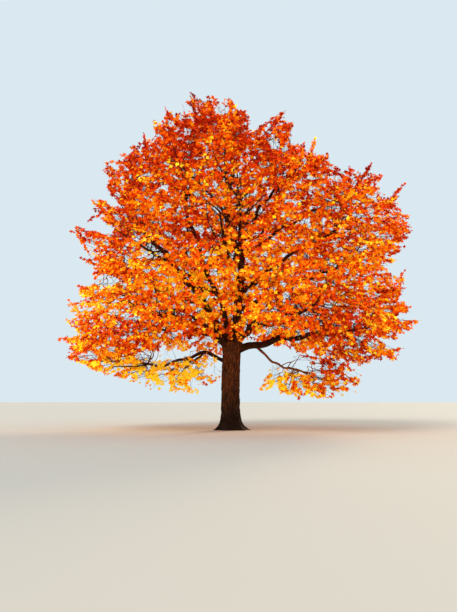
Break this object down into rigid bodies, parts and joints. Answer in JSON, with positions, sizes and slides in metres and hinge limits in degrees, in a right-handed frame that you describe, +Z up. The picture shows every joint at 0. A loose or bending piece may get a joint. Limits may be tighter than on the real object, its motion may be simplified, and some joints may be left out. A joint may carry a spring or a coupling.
{
  "type": "red maple tree",
  "caption": "Whole broad-crowned maple in full autumn leaf: flared trunk, forking boughs and masses of red, orange and gold foliage.",
  "frame": {"origin": "centre of the flat cut under the trunk, at ground level", "axes": "+Z up the trunk, +X to the right of the front view, +Y to the back"},
  "size_m": [11.5625, 10.8641, 11.3255],
  "materials": {
    "bark": "rough ridged dark bark",
    "leaves_red": "matt red-orange autumn leaves",
    "leaves_orange": "matt orange autumn leaves",
    "leaves_gold": "matt golden autumn leaves"
  },
  "bodies": {
    "root": {"trunk": "bark", "bough_leader": "bark", "bough_upper_left": "bark", "bough_upper_front_left": "bark", "bough_low_right": "bark", "bough_hanging_right": "bark", "bough_low_back_right": "bark", "bough_low_back": "bark", "bough_low_back_left": "bark", "bough_low_left": "bark", "bough_hanging_left": "bark", "bough_low_front_left": "bark", "bough_low_front_right": "bark", "bough_middle_right": "bark", "bough_middle_back_right": "bark", "bough_middle_back": "bark", "bough_middle_left": "bark", "bough_middle_front_left": "bark", "bough_middle_front": "bark", "bough_middle_front_right": "bark", "bough_upper_right": "bark", "bough_upper_back_right": "bark", "bough_upper_back_left": "bark", "bough_upper_front_right": "bark", "bough_top_right": "bark", "bough_top_left": "bark", "bough_top_front": "bark", "bough_top_back": "bark", "bough_inner_front": "bark", "bough_inner_back": "bark", "foliage_leader": "leaves_red", "foliage_upper_left": "leaves_red", "foliage_upper_front_left": "leaves_red", "foliage_low_right": "leaves_orange", "foliage_hanging_right": "leaves_gold", "foliage_low_back_right": "leaves_orange", "foliage_low_back": "leaves_orange", "foliage_low_back_left": "leaves_orange", "foliage_low_left": "leaves_gold", "foliage_hanging_left": "leaves_gold", "foliage_low_front_left": "leaves_orange", "foliage_low_front_right": "leaves_orange", "foliage_middle_right": "leaves_orange", "foliage_middle_back_right": "leaves_orange", "foliage_middle_back": "leaves_orange", "foliage_middle_left": "leaves_orange", "foliage_middle_front_left": "leaves_orange", "foliage_middle_front": "leaves_orange", "foliage_middle_front_right": "leaves_orange", "foliage_upper_right": "leaves_red", "foliage_upper_back_right": "leaves_red", "foliage_upper_back_left": "leaves_red", "foliage_upper_front_right": "leaves_red", "foliage_top_right": "leaves_red", "foliage_top_left": "leaves_red", "foliage_top_front": "leaves_red", "foliage_top_back": "leaves_red", "foliage_inner_front": "leaves_orange", "foliage_inner_back": "leaves_orange"}
  },
  "joints": []
}
